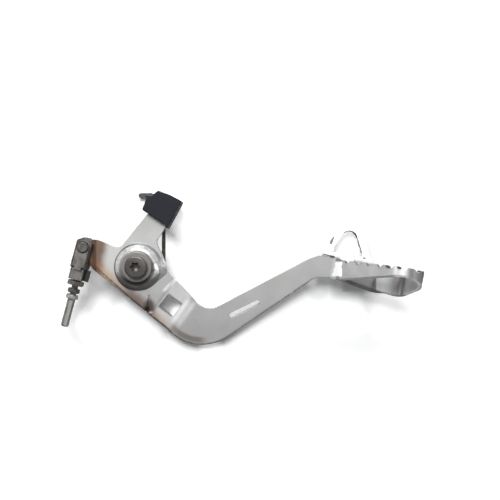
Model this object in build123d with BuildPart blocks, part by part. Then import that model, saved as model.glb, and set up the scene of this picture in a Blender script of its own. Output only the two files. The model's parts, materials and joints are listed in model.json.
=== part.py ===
from build123d import *
import os
from math import acos, asin, atan2, cos, degrees, hypot, pi, radians, sin, tan

# Rear brake pedal for a motorbike, in millimetres.
# X points forward to the tread, Z up, and -Y outboard to the rider's boot.
# The origin is on the pivot axis, at the inboard seat on the bike's frame.
# A height is measured outboard of that seat.

# Lever sheet
sheet = 4.0
plate_height = 22.0
arm_drop = 10.0
joggle_angle = -34.0
joggle_start = 29.5
joggle_run = 19.0
upper_bend = 4.0
lower_bend = 14.0
lip_depth = 10.0

# Places in the side view
clevis_x = -42.4
clevis_z = 15.4
bend_x = 45.3
bend_z = -73.7
tread_x = 163.9
tread_z = 3.5
stop_angle = 65.0
stop_reach = 54.8

# Clevis end of the short arm
clevis_eye = 6.2
short_arm_rise = 5.8
short_arm_fall = 17.1

# Stop arm and its rubber cap
tip_left = 10.6
tip_right = 7.1
cap_wall = 4.4
cap_grip = 14.5
cap_depth = 16.0
cap_tail = 3.8
tip_corner = 3.0
cap_corner = 1.6
cap_round = 0.8

# Bend and long arm
bend_outer_radius = 37.0
bend_inner_radius = 15.0
arm_width_at_bend = 36.0
arm_slope = 34.1
arm_width_at_tread = 19.0

# Openings in the lever
window_tall = 19.1
window_wide = 16.7
window_lean = 1.2
window_x = 24.9
window_z = -30.8
window_corner = 0.8
slot_length = 27.0
slot_width = 4.2
slot_x = 83.8
slot_z = -34.5
slot_angle = 26.5

# Dome round the pivot
dome_radius = 18.9
dome_crown = 13.8
dome_rise = 6.0
dome_round = 3.0
dome_gap = 0.7
ear_x = 17.5
ear_z = -2.6
ear_radius = 5.6
ear_inset = 4.0
ear_crown = 3.4

# Pivot bearing
tube_radius = 12.5
tube_end = 2.2
bush_radius = 9.0
bush_wall = 2.0
bush_flange = 10.0
flange_thickness = 1.0
bush_length = 10.0
seal_radius = 11.4
bolt_radius = 4.0
shank_step = 0.6
bolt_thread = 13.0
head_radius = 8.6
head_height = 5.4
head_round = 1.2
socket_radius = 3.97
socket_lobe = 0.85
socket_depth = 3.4
collar_radius = 11.9
collar_thickness = 2.2
collar_edge = 0.7

# Return spring
wire = 3.0
coil_radius = 17.7
coil_turns = 3
coil_pitch = 3.3
coil_height = 4.8
hook_height = 57.6
hook_end = 2.9
leg_bend = 4.0
paddle_end = -2.8
paddle_height = 4.1
paddle_sheet = 1.8
catch_x = 13.0
catch_z = -24.0
catch_depth = 2.8
catch_gap = 0.6

# Pressed pocket at the rolled edge
pocket_depth = 2.2
pocket_top = -22.2
pocket_left = 7.8
pocket_right = 9.5
pocket_foot = -36.0
pocket_foot_left = 5.2
pocket_foot_right = 13.0

# Tread loop
strip = 3.0
tread_pitch = 10.5
tread_roll = 4.5
loop_root = -1.0
tread_rise = 1.2
loop_foot = 8.0
nose_x = 44.7
nose_reach = 25.5
nose_radius = 13.0
loop_corner_x = 49.8
loop_overlap = 22.6
corner_radius = 9.0
foot_radius = 4.0
depth_at_foot = 16.5
depth_at_corner = 21.3
depth_at_nose = 8.5
tooth_pitch = 10.0
tooth_height = 2.1
tooth_land = 4.8
tooth_gap = 2.0
tooth_round = 1.2
root_round = 0.9
first_tooth = 4.8

# Flip step
hinge_back = 17.6
hinge_rise = 7.4
step_sheet = 2.5
step_base = 41.2
step_slope = 65.3
step_apex = 11.0
step_border = 5.4
step_hole_round = 6.4
step_lean = 14.0
step_eye = 2.8
step_eye_length = 9.0
step_collar = 2.2
step_collar_wall = 2.0
step_teeth = 3
step_tooth_gap = 3.4
step_tooth_depth = 1.4
knuckle_length = 5.6
hinge_pin = 1.5

# Clevis and push rod
rod_angle = -104.8
fork_width = 12.4
fork_depth = 14.0
fork_top = 7.6
fork_slot = 5.2
fork_slot_depth = 13.5
fork_root = 17.0
fork_shoulder = 4.2
fork_crown = 3.2
fork_edge = 0.6
neck_radius = 4.8
neck_end = 26.6
pin_radius = 3.0
pin_head = 4.1
pin_head_height = 1.4
clip_sheet = 1.0
clip_width = 11.8
clip_eye = 5.3
clip_leaf = 15.8
clip_foot = 8.0
clip_round = 3.0
clip_end = 26.3
clip_corner = 1.6
clip_tail = 5.4
clip_lug = 2.6
clip_lug_width = 4.0
nut_across_flats = 11.6
nut_start = 27.6
nut_thickness = 3.4
rod_radius = 3.0
rod_neck = 2.5
rod_collar = 4.7
collar_width = 3.4
first_collar = 33.9
second_collar = 38.8
rod_length = 65.0
rod_tip_round = 1.6
rod_collar_round = 0.8

# Fits
running = 0.05
slip = 0.15
seat_gap = 0.3

# Heights that follow from the stack at the pivot
plate_back = plate_height - sheet
plate_mid = plate_height - sheet / 2
arm_height = plate_height - arm_drop
arm_back = arm_height - sheet
arm_mid = arm_height - sheet / 2
dome_top = plate_height + dome_rise
dome_ceiling = dome_top - sheet
bush_top = dome_top + flange_thickness
sleeve_length = bush_top + seat_gap
head_seat = sleeve_length + collar_thickness
sleeve_radius = bush_radius - bush_wall - running
shank_radius = bolt_radius + shank_step

# Places that follow from the tread
hinge_x = tread_x - hinge_back
hinge_z = tread_z + hinge_rise
reach = tread_x + 2 * loop_corner_x


def side(height):
    """Side-view plane at a height outboard of the frame seat, facing outboard."""
    return Plane.XZ.offset(height)


def turned(angle, along, across):
    """Side-view point given along and to the left of a direction through the pivot axis."""
    c = cos(radians(angle))
    s = sin(radians(angle))
    return (along * c - across * s, along * s + across * c)


def ring(outer, inner, height):
    """Ring about the pivot axis, as a sketch at a height."""
    with BuildSketch(side(height)) as rim:
        Circle(outer)
        Circle(inner, mode=Mode.SUBTRACT)
    return rim.sketch


def disc(plane, radius, bore=0.0):
    """Disc on a plane, as a sketch, with a hole if a bore radius is given."""
    with BuildSketch(plane) as face:
        Circle(radius)
        if bore > 0:
            Circle(bore, mode=Mode.SUBTRACT)
    return face.sketch


def lever_outline():
    """The lever's outline in the side view, with the round end at the clevis pin."""
    arm_top_x = tread_x - 18.3
    arm_top_z = tread_z + 6.2
    arm_low_z = arm_top_z - arm_width_at_tread
    arm_low_x = bend_x + (arm_low_z - bend_z) / tan(radians(arm_slope))
    top_of_short_arm = (clevis_x + 9.9, clevis_z + short_arm_rise)
    foot_of_short_arm = (clevis_x + 7, clevis_z - short_arm_fall - 0.8)
    corners = [
        (top_of_short_arm, 0),
        ((-14.9, 14.2), 6.0),
        (turned(stop_angle, stop_reach - cap_grip + 4, tip_left - 0.4), 8.0),
        (turned(stop_angle, stop_reach, tip_left), tip_corner),
        (turned(stop_angle, stop_reach, -tip_right), tip_corner),
        (turned(stop_angle, stop_reach - cap_grip - 3, -tip_right + 1), 8.0),
        ((13.7, 19.5), 5.0),
        ((18.8, 9.5), 20.0),
        ((22.9, -3.4), 4.0),
        ((bend_x + 7.2, bend_z + arm_width_at_bend), bend_inner_radius),
        ((tread_x - 29, tread_z + 2.2), 24.0),
        ((arm_top_x, arm_top_z), 3.0),
        ((tread_x, tread_z), 10.0),
        ((tread_x + 42, tread_z - 10), 6.0),
        ((tread_x + 44, tread_z - 26), 5.0),
        ((tread_x + 24, tread_z - 25), 30.0),
        ((tread_x - 10, tread_z - 13), 14.0),
        ((arm_low_x, arm_low_z), 12.0),
        ((bend_x, bend_z), bend_outer_radius),
        ((5.5, -34.9), 40.0),
        (foot_of_short_arm, 3.0),
    ]
    with BuildSketch() as eye:
        with Locations((clevis_x, clevis_z)):
            Circle(clevis_eye)
        with BuildLine():
            Line(top_of_short_arm, foot_of_short_arm)
        make_hull()
    with BuildSketch() as outline:
        with BuildLine():
            FilletPolyline(*[point for point, _ in corners], radius=[r for _, r in corners], close=True)
        make_face()
        add(eye.sketch)
    return outline.sketch


def window_plan():
    """Four-sided hole in the joggle, a square before the sheet was bent."""
    with BuildSketch() as plan:
        with BuildLine():
            FilletPolyline(
                (window_x - window_lean, window_z + window_tall / 2),
                (window_x + window_wide / 2, window_z),
                (window_x + window_lean, window_z - window_tall / 2),
                (window_x - window_wide / 2, window_z),
                radius=window_corner,
                close=True,
            )
        make_face()
    return plan.sketch


# Section of the formed sheet, across the two bend lines of the joggle
joggle_slope = atan2(arm_drop, joggle_run)
section_plane = Plane(
    (0, 0, 0),
    x_dir=(cos(radians(joggle_angle)), 0, sin(radians(joggle_angle))),
    z_dir=(sin(radians(joggle_angle)), 0, -cos(radians(joggle_angle))),
)


def formed_section(thickness):
    """Section of a joggled slab of some thickness behind the lever's outboard face."""
    shift = thickness * tan(joggle_slope / 2)
    low = joggle_start + joggle_run
    face_line = [(-reach, plate_height), (joggle_start, plate_height), (low, arm_height), (reach, arm_height)]
    back_line = [(along - shift, height - thickness) for along, height in face_line]
    with BuildSketch(section_plane) as section:
        with BuildLine():
            front = FilletPolyline(*face_line, radius=[upper_bend + sheet, lower_bend])
            back = FilletPolyline(*back_line, radius=[upper_bend, lower_bend + sheet])
            Line(front @ 0, back @ 0)
            Line(front @ 1, back @ 1)
        make_face()
    return section.sketch


def dome_plan(height, radius, ear_at, ear):
    """Plan of the dome at a height: a circle drawn out to a small ear on the side of the arm."""
    with BuildSketch(side(height)) as plan:
        Circle(radius)
        with Locations((ear_at, ear_z)):
            Circle(ear)
        make_hull()
    return plan.sketch


# Hinge line of the flip step, parallel to the tread
hinge_axis = Vector(cos(radians(tread_pitch)), 0, -sin(radians(tread_pitch)))
hinge_up = Vector(sin(radians(tread_pitch)), 0, cos(radians(tread_pitch)))
hinge_start = Vector(hinge_x, -arm_mid, hinge_z)
front_eye = step_base - step_eye_length
rear_knuckle = step_eye_length + seat_gap
front_knuckle = front_eye - seat_gap - knuckle_length


def hinge(along):
    """Plane square to the step's hinge line, at a distance along it."""
    return Plane(hinge_start + hinge_axis * along, x_dir=(0, -1, 0), z_dir=hinge_axis)


# The lip is the rolled lower edge, from the short arm round the bend
with BuildPart() as lip:
    extrude(formed_section(lip_depth), amount=reach, both=True)
    with BuildSketch(side(0)):
        add(lever_outline())
        offset(amount=-sheet, mode=Mode.SUBTRACT)
        with BuildLine():
            Polyline(
                (clevis_x + 10, clevis_z - short_arm_fall - 12),
                (clevis_x + 19, clevis_z - short_arm_fall + 3),
                (bend_x - 16, bend_z + 37),
                (bend_x + 20, bend_z + 32),
                (bend_x + 42, bend_z + 12),
                (bend_x, bend_z - 15),
                close=True,
            )
        make_face(mode=Mode.INTERSECT)
    extrude(amount=plate_height + 1, mode=Mode.INTERSECT)

# The pocket slopes from its right side down to its left side, and runs out through the rolled edge
with BuildPart() as pocket:
    with BuildSketch(side(plate_height - pocket_depth)):
        with BuildLine():
            Polyline(
                (pocket_left, pocket_top),
                (pocket_right, pocket_top),
                (pocket_foot_right, pocket_foot),
                (pocket_foot_left, pocket_foot),
                close=True,
            )
        make_face()
    extrude(amount=pocket_depth + 1)
    shallow_top = Vector(pocket_right, -plate_height, pocket_top)
    shallow_foot = Vector(pocket_foot_right, -plate_height, pocket_foot)
    deep_foot = Vector(pocket_foot_left, pocket_depth - plate_height, pocket_foot)
    floor_normal = (deep_foot - shallow_top).cross(shallow_foot - shallow_top)
    split(bisect_by=Plane(shallow_top, z_dir=floor_normal), keep=Keep.TOP)

# The lever is one formed sheet with a dome pressed up round the pivot
with BuildPart() as lever:
    extrude(formed_section(sheet), amount=reach, both=True)
    add(dome_plan(plate_height, dome_radius, ear_x, ear_radius))
    add(dome_plan(dome_top, dome_crown, ear_x - ear_inset, ear_crown))
    loft()
    fillet(lever.edges().group_by(Axis.Y)[0], radius=dome_round)
    with BuildSketch(side(0)):
        add(lever_outline())
    extrude(amount=dome_top + 1, mode=Mode.INTERSECT)
    add(lip.part)
    hollow = disc(side(plate_back), tube_radius + dome_gap)
    extrude(hollow, amount=dome_ceiling - plate_back, mode=Mode.SUBTRACT)
    with BuildSketch(side(arm_back)):
        with Locations(Location((hinge_x, hinge_z), -tread_pitch)):
            with Locations((front_knuckle + knuckle_length / 2, -4)):
                Rectangle(knuckle_length, 8)
    extrude(amount=sheet)
    with BuildSketch(side(0)):
        Circle(bush_radius + running)
        with Locations((clevis_x, clevis_z)):
            Circle(pin_radius + running)
        with Locations(Location((slot_x, slot_z), slot_angle)):
            SlotOverall(slot_length, slot_width)
        add(window_plan())
    extrude(amount=dome_top + 1, mode=Mode.SUBTRACT)
    with BuildSketch(side(plate_back)):
        with Locations((catch_x, catch_z)):
            Circle(wire / 2 + catch_gap)
    extrude(amount=catch_depth, mode=Mode.SUBTRACT)
    add(pocket.part, mode=Mode.SUBTRACT)
    extrude(disc(hinge(-2), step_eye + seat_gap), amount=2 + rear_knuckle, mode=Mode.SUBTRACT)
    front_relief = front_eye - seat_gap
    extrude(disc(hinge(rear_knuckle), step_eye), amount=front_relief - rear_knuckle, mode=Mode.SUBTRACT)
    extrude(disc(hinge(front_relief), step_eye + seat_gap), amount=step_eye_length + 3, mode=Mode.SUBTRACT)
lever.part.label = "pedal_lever"

# Bearing tube welded behind the dome, with a flanged bush and a dust ring at each end
with BuildPart() as tube:
    extrude(ring(tube_radius, bush_radius + running, tube_end), amount=dome_ceiling - tube_end)
tube.part.label = "pivot_tube"

bush_bore = sleeve_radius + running
with BuildPart() as outer_bush:
    extrude(ring(bush_radius, bush_bore, dome_top - bush_length), amount=bush_length)
    extrude(ring(bush_flange, bush_bore, dome_top), amount=flange_thickness)
outer_bush.part.label = "outer_bush"

with BuildPart() as inner_bush:
    extrude(ring(bush_radius, bush_bore, tube_end), amount=bush_length)
    extrude(ring(bush_flange, bush_bore, tube_end), amount=-flange_thickness)
inner_bush.part.label = "inner_bush"

with BuildPart() as outer_seal:
    extrude(ring(seal_radius, bush_flange + slip, dome_top), amount=flange_thickness + seat_gap / 2)
outer_seal.part.label = "outer_seal"

with BuildPart() as inner_seal:
    extrude(ring(seal_radius, bush_flange + slip, tube_end), amount=-flange_thickness - seat_gap / 2)
inner_seal.part.label = "inner_seal"

# Sleeve, washers and bolt stay fixed to the bike
with BuildPart() as sleeve:
    extrude(ring(sleeve_radius, shank_radius + slip, 0), amount=sleeve_length)
    chamfer(sleeve.edges().group_by(Axis.Y)[-1].sort_by(SortBy.LENGTH)[-1], length=0.5)
sleeve.part.label = "pivot_sleeve"

with BuildPart() as thrust_washer:
    thrust_thickness = tube_end - flange_thickness - seat_gap
    extrude(ring(tube_radius - 0.5, sleeve_radius + slip, 0), amount=thrust_thickness)
thrust_washer.part.label = "thrust_washer"

with BuildPart() as collar:
    extrude(ring(collar_radius, shank_radius + slip, sleeve_length), amount=collar_thickness)
    fillet(collar.edges().group_by(Axis.Y)[0].sort_by(SortBy.LENGTH)[-1], radius=collar_edge)
collar.part.label = "collar_washer"

with BuildPart() as bolt:
    extrude(disc(side(-bolt_thread), bolt_radius), amount=bolt_thread)
    chamfer(bolt.edges().group_by(Axis.Y)[-1], length=0.8)
    extrude(disc(side(0), shank_radius), amount=head_seat)
    extrude(disc(side(head_seat), head_radius), amount=head_height)
    fillet(bolt.edges().group_by(Axis.Y)[0], radius=head_round)
    with BuildSketch(side(head_seat + head_height)):
        Circle(socket_radius - socket_lobe)
        with PolarLocations(socket_radius - socket_lobe, 6):
            Circle(socket_lobe)
    extrude(amount=-socket_depth, mode=Mode.SUBTRACT)
bolt.part.label = "pivot_bolt"

# Return spring: coils round the tube, one hooked leg for the frame and one leg in a hole behind the lever
catch_distance = hypot(catch_x, catch_z)
coil_end = degrees(atan2(catch_z, catch_x)) + degrees(acos(coil_radius / catch_distance))
coil_rise = coil_pitch * (coil_turns - coil_end / 360)
end_height = coil_height + coil_rise
coil = side(coil_height).location * Helix(coil_pitch, coil_rise, coil_radius, lefthand=True)
coil_start = coil % 0
coil_leave = coil % 1
leg_length = coil_radius * tan(acos(coil_radius / catch_distance))
hook_plane = Plane(coil @ 0, x_dir=(-1, 0, 0), z_dir=Vector(1, 0, 0).cross(coil_start))
catch_plane = Plane(coil @ 1, x_dir=coil_leave, z_dir=coil_leave.cross(Vector(0, -1, 0)))
leg_climb = leg_length * coil_pitch / (2 * pi * coil_radius)
catch_rise = plate_back + catch_depth - seat_gap - end_height - leg_climb
with BuildLine(hook_plane) as hook:
    FilletPolyline((0, 0), (0, hook_height), (coil_radius - hook_end, hook_height), radius=leg_bend)
with BuildLine(catch_plane) as catch:
    FilletPolyline((0, 0), (leg_length, 0), (leg_length, catch_rise), radius=leg_bend)
wire_path = Wire([*hook.edges(), coil, *catch.edges()])
with BuildPart() as spring:
    with BuildSketch(Plane(wire_path @ 0, z_dir=wire_path % 0)):
        Circle(wire / 2)
    sweep(path=wire_path)
    with BuildSketch(hook_plane.offset(-paddle_sheet / 2)):
        with Locations((coil_radius - paddle_end, hook_height)):
            with Locations((-paddle_height * 1.5, 0)):
                SlotOverall(paddle_height * 3, paddle_height)
    extrude(amount=paddle_sheet)
spring.part.label = "return_spring"

# Rubber cap on the stop arm
cap_base = plate_mid - cap_depth / 2
stop_line = Vector(cos(radians(stop_angle)), 0, sin(radians(stop_angle)))
with BuildPart() as cap:
    with BuildSketch(Plane((0, -cap_base, 0), x_dir=stop_line, z_dir=(0, -1, 0))):
        with BuildLine():
            FilletPolyline(
                (stop_reach - cap_grip - cap_tail - 1.2, -tip_right - 1.3),
                (stop_reach + cap_wall + 2.2, -tip_right - 3.0),
                (stop_reach + cap_wall + 2.6, tip_left - 10),
                (stop_reach + cap_wall + 1.7, tip_left),
                (stop_reach + 0.8, tip_left + 2.2),
                (stop_reach - 2.7, tip_left + 5.7),
                (stop_reach - cap_grip + 1.9, tip_left + 4.8),
                (stop_reach - cap_grip + 1.0, tip_left - 0.2),
                (stop_reach - cap_grip - 1.4, -tip_right + 1.1),
                radius=[0.8, cap_corner, 8.0, cap_corner, 0.8, cap_corner, 0.8, 0, 0],
                close=True,
            )
        make_face()
    extrude(amount=cap_depth)
    fillet(cap.edges().group_by(Axis.Y)[0], radius=cap_round)
    fillet(cap.edges().group_by(Axis.Y)[-1], radius=cap_round)
    with BuildSketch(side(plate_back - running)):
        add(lever_outline())
        offset(amount=running)
    extrude(amount=sheet + 2 * running, mode=Mode.SUBTRACT)
cap.part.label = "stop_cap"

# Tread: a toothed strip bent to a loop, its ends flat on the lever's face
tread_plane = Plane(
    (tread_x + loop_root, -arm_height, tread_z + tread_rise),
    x_dir=hinge_axis,
    z_dir=-hinge_up,
)
bore_side = strip / 2
nose = Vector(nose_x, nose_reach)
run_in = Vector(nose_x, nose_reach - bore_side)
run_out = Vector(nose_x - loop_corner_x, nose_reach - bore_side)
climb = atan2(run_in.Y, run_in.X) + asin(nose_radius / run_in.length)
fall = atan2(run_out.Y, run_out.X) - asin(nose_radius / run_out.length)
lift = tan(radians(tread_roll))


def on_nose(angle):
    """Point of the nose's centre line at an angle in the tread's plan."""
    return (nose_x + nose_radius * cos(angle), nose_reach + nose_radius * sin(angle))


with BuildPart() as loop:
    with BuildLine(tread_plane) as loop_line:
        touch_in = on_nose(climb + pi / 2)
        touch_out = on_nose(fall - pi / 2)
        FilletPolyline((-loop_foot, bore_side), (0, bore_side), touch_in, radius=foot_radius)
        ThreePointArc(touch_in, on_nose((climb + fall) / 2), touch_out)
        corner = (loop_corner_x, bore_side)
        FilletPolyline(touch_out, corner, (loop_corner_x - loop_overlap, bore_side), radius=corner_radius)
    with BuildSketch(tread_plane.offset(-tooth_height - 4)):
        with BuildLine():
            FilletPolyline((-loop_foot, bore_side), (0, bore_side), touch_in, radius=foot_radius)
            ThreePointArc(touch_in, on_nose((climb + fall) / 2), touch_out)
            FilletPolyline(touch_out, corner, (loop_corner_x - loop_overlap, bore_side), radius=corner_radius)
        trace(line_width=strip)
    extrude(amount=depth_at_corner + tooth_height + 8)
    tip_normal = tread_plane.y_dir * -lift - tread_plane.z_dir
    tip_cut = tread_plane.origin - tread_plane.z_dir * seat_gap
    split(bisect_by=Plane(tip_cut, z_dir=tip_normal), keep=Keep.BOTTOM)
    at_foot = tread_plane.from_local_coords(Vector(0, 0, depth_at_foot))
    at_corner = tread_plane.from_local_coords(Vector(loop_corner_x, 0, depth_at_corner))
    nose_tip = on_nose((climb + fall) / 2)
    at_nose = tread_plane.from_local_coords(Vector(*nose_tip, depth_at_nose - lift * nose_tip[1]))
    under_normal = (at_corner - at_foot).cross(at_nose - at_foot)
    split(bisect_by=Plane(at_foot, z_dir=under_normal), keep=Keep.BOTTOM)
    path = loop_line.wire()
    toothed = path.length - loop_foot - loop_overlap - corner_radius
    teeth = round(toothed / tooth_pitch)
    half_top = (tooth_pitch - tooth_land) / 2
    for tooth in range(teeth):
        along = (loop_foot + first_tooth + tooth * tooth_pitch) / path.length
        heading = path % along
        rise = heading.dot(tread_plane.y_dir) * lift
        spot = path @ along
        level = tread_plane.to_local_coords(spot).Y * lift
        with BuildSketch(
            Plane(
                spot - tread_plane.z_dir * level,
                x_dir=heading - tread_plane.z_dir * rise,
                z_dir=heading.cross(tread_plane.z_dir * -1),
            )
        ):
            with BuildLine():
                FilletPolyline(
                    (-tooth_pitch / 2 - 1, tooth_height),
                    (-tooth_pitch / 2 - 1, 0),
                    (-half_top, 0),
                    (-tooth_gap / 2, -tooth_height),
                    (tooth_gap / 2, -tooth_height),
                    (half_top, 0),
                    (tooth_pitch / 2 + 1, 0),
                    (tooth_pitch / 2 + 1, tooth_height),
                    radius=[0, 0, tooth_round, root_round, root_round, tooth_round, 0, 0],
                    close=True,
                )
            make_face()
        extrude(amount=strip, both=True, mode=Mode.SUBTRACT)
loop.part.label = "tread_loop"

# Flip step: a pierced triangular plate with two rolled eyes, shown folded inboard
lean = radians(step_lean)
step_plane = Plane(
    hinge_start,
    x_dir=hinge_axis,
    z_dir=hinge_axis.cross(hinge_up * cos(lean) + Vector(0, 1, 0) * sin(lean)),
)
half_base = step_base / 2
steep = tan(radians(step_slope))
hole_base = half_base - step_border / sin(radians(step_slope))


def step_hole(grow):
    """Pierced opening of the step, grown outward by a distance, open at the hinge side."""
    wide = hole_base + grow / sin(radians(step_slope)) + 6 / steep
    with BuildSketch() as hole:
        with BuildLine():
            FilletPolyline(
                (half_base - wide, -6),
                (half_base, wide * steep - 6),
                (half_base + wide, -6),
                radius=[0, step_hole_round + grow, 0],
                close=True,
            )
        make_face()
        with Locations((half_base, 0)):
            Rectangle(front_eye - step_eye_length + 2 * grow, 4 * step_base, mode=Mode.INTERSECT)
    return hole.sketch


with BuildPart() as step:
    with BuildSketch(step_plane.offset(-step_eye)):
        with BuildLine():
            FilletPolyline(
                (0, 0),
                (half_base, half_base * steep),
                (step_base, 0),
                radius=[0, step_apex, 0],
                close=True,
            )
        make_face()
    extrude(amount=step_sheet)
    with BuildSketch(step_plane.offset(-step_eye)):
        add(step_hole(step_collar_wall))
        with Locations((half_base, step_border + step_base)):
            Rectangle(step_base, 2 * step_base, mode=Mode.INTERSECT)
    extrude(amount=-step_collar)
    with BuildSketch(step_plane.offset(-step_eye - step_collar)):
        with Locations((half_base, step_border + 1.5 * step_tooth_gap)):
            with GridLocations(1, 2 * step_tooth_gap, 1, step_teeth, align=(Align.CENTER, Align.MIN)):
                Rectangle(step_base, step_tooth_gap)
    extrude(amount=step_tooth_depth, mode=Mode.SUBTRACT)
    extrude(disc(hinge(0), step_eye), amount=step_eye_length)
    extrude(disc(hinge(front_eye), step_eye), amount=step_eye_length)
    with BuildSketch(step_plane.offset(-step_eye - step_collar)):
        add(step_hole(0))
    extrude(amount=2 * step_eye + step_collar, mode=Mode.SUBTRACT)
    extrude(disc(hinge(-1), hinge_pin + running), amount=step_base + 2, mode=Mode.SUBTRACT)
step.part.label = "flip_step"

# Knuckles welded on the lever's top edge, and the pins that carry the step
with BuildPart() as rear_knuckle_tube:
    extrude(disc(hinge(rear_knuckle), step_eye, hinge_pin + running), amount=knuckle_length)
rear_knuckle_tube.part.label = "rear_step_knuckle"

with BuildPart() as front_knuckle_tube:
    extrude(disc(hinge(front_knuckle), step_eye, hinge_pin + running), amount=knuckle_length)
front_knuckle_tube.part.label = "front_step_knuckle"

with BuildPart() as rear_pin:
    extrude(disc(hinge(0), hinge_pin), amount=rear_knuckle + knuckle_length)
rear_pin.part.label = "rear_step_pin"

with BuildPart() as front_pin:
    extrude(disc(hinge(front_knuckle), hinge_pin), amount=step_base - front_knuckle)
front_pin.part.label = "front_step_pin"

# Clevis: distances run from the pin along the push rod
rod_line = Vector(cos(radians(rod_angle)), 0, sin(radians(rod_angle)))
pin_centre = Vector(clevis_x, -plate_mid, clevis_z)


def rod(distance):
    """Plane square to the push rod, at a distance from the clevis pin."""
    return Plane(pin_centre + rod_line * distance, x_dir=(0, -1, 0), z_dir=rod_line)


def clevis_side(height):
    """Side-view plane with its origin at the clevis pin and x along the push rod."""
    return Plane((clevis_x, -height, clevis_z), x_dir=rod_line, z_dir=(0, -1, 0))


fork_face = plate_mid + fork_depth / 2
with BuildPart() as fork:
    half = fork_width / 2
    with BuildSketch(clevis_side(plate_mid - fork_depth / 2)):
        with BuildLine():
            Polyline(
                (fork_root, half),
                (-fork_shoulder, half),
                (-fork_top, fork_crown / 2),
                (-fork_top, -fork_crown / 2),
                (-fork_shoulder, -half),
                (fork_root, -half),
                close=True,
            )
        make_face()
    extrude(amount=fork_depth)
    chamfer(fork.edges().group_by(Axis.Y)[0], length=fork_edge)
    chamfer(fork.edges().group_by(Axis.Y)[-1], length=fork_edge)
    extrude(disc(rod(fork_root - 1), neck_radius), amount=neck_end - fork_root + 1)
    with BuildSketch(rod(-fork_top)):
        Rectangle(fork_slot, 2 * fork_width)
    extrude(amount=fork_top + fork_slot_depth, mode=Mode.SUBTRACT)
    extrude(disc(rod(0), rod_radius + running), amount=neck_end, mode=Mode.SUBTRACT)
    extrude(disc(clevis_side(0), pin_radius + running), amount=2 * plate_mid, mode=Mode.SUBTRACT)
fork.part.label = "clevis_fork"

with BuildPart() as pin:
    pin_base = plate_mid - fork_depth / 2 - 1
    extrude(disc(clevis_side(pin_base), pin_radius), amount=fork_face + clip_sheet - pin_base)
    extrude(disc(clevis_side(fork_face + clip_sheet), pin_head), amount=pin_head_height)
    fillet(pin.edges().group_by(Axis.Y)[0], radius=0.5)
    chamfer(pin.edges().group_by(Axis.Y)[-1], length=0.5)
pin.part.label = "clevis_pin"

with BuildPart() as clip:
    saddle = 2 * (neck_radius + running + clip_sheet)
    saddle_start = fork_root + seat_gap
    with BuildSketch(clevis_side(fork_face)):
        Circle(clip_eye)
        with Locations((clip_leaf, 0)):
            RectangleRounded(clip_foot, clip_width, clip_round, align=(Align.MAX, Align.CENTER))
        make_hull()
        with Locations((clip_leaf - 2, 0)):
            Rectangle(saddle_start + clip_sheet - clip_leaf + 2, clip_tail, align=(Align.MIN, Align.CENTER))
        Circle(pin_radius + running, mode=Mode.SUBTRACT)
    extrude(amount=clip_sheet)
    with BuildSketch(rod(saddle_start)):
        with Locations((neck_radius + running, 0)):
            Rectangle(fork_depth / 2 - neck_radius, clip_tail, align=(Align.MIN, Align.CENTER))
    extrude(amount=clip_sheet)
    with BuildSketch(rod(saddle_start)):
        RectangleRounded(saddle, saddle, clip_corner)
        with Locations((0, -saddle / 2)):
            with Locations((0, -clip_lug / 2)):
                Rectangle(clip_lug_width, clip_lug + 1)
        Circle(neck_radius + running, mode=Mode.SUBTRACT)
        with Locations((-saddle / 2, 0)):
            Rectangle(saddle / 2, 2 * neck_radius, mode=Mode.SUBTRACT)
    extrude(amount=clip_end - saddle_start)
clip.part.label = "clevis_clip"

with BuildPart() as nut:
    with BuildSketch(rod(nut_start)):
        RegularPolygon(nut_across_flats / 2, 6, major_radius=False)
        Circle(rod_radius + running, mode=Mode.SUBTRACT)
    extrude(amount=nut_thickness)
nut.part.label = "lock_nut"

with BuildPart() as push_rod:
    rod_start = fork_slot_depth + 1
    extrude(disc(rod(rod_start), rod_radius), amount=rod_length - rod_start)
    fillet(push_rod.edges().sort_by(Axis.Z)[0], radius=rod_tip_round)
    nut_end = nut_start + nut_thickness
    for groove, shoulder in ((nut_end, first_collar), (first_collar + collar_width, second_collar)):
        extrude(disc(rod(groove), rod_collar, rod_neck), amount=shoulder - groove, mode=Mode.SUBTRACT)
        extrude(disc(rod(shoulder), rod_collar), amount=collar_width)
    rims = push_rod.edges().filter_by(GeomType.CIRCLE).filter_by(lambda edge: edge.radius > rod_radius + 0.5)
    fillet(rims, radius=rod_collar_round)
push_rod.part.label = "push_rod"

os.makedirs("parts", exist_ok=True)
for piece in (
    lever, loop, step, bolt, collar, spring, cap, fork, pin, clip, nut, push_rod,
    tube, outer_bush, inner_bush, outer_seal, inner_seal, sleeve, thrust_washer,
    rear_knuckle_tube, front_knuckle_tube, rear_pin, front_pin,
):
    export_step(piece.part, f"parts/{piece.part.label}.step")
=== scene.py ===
import json
import math

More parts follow.
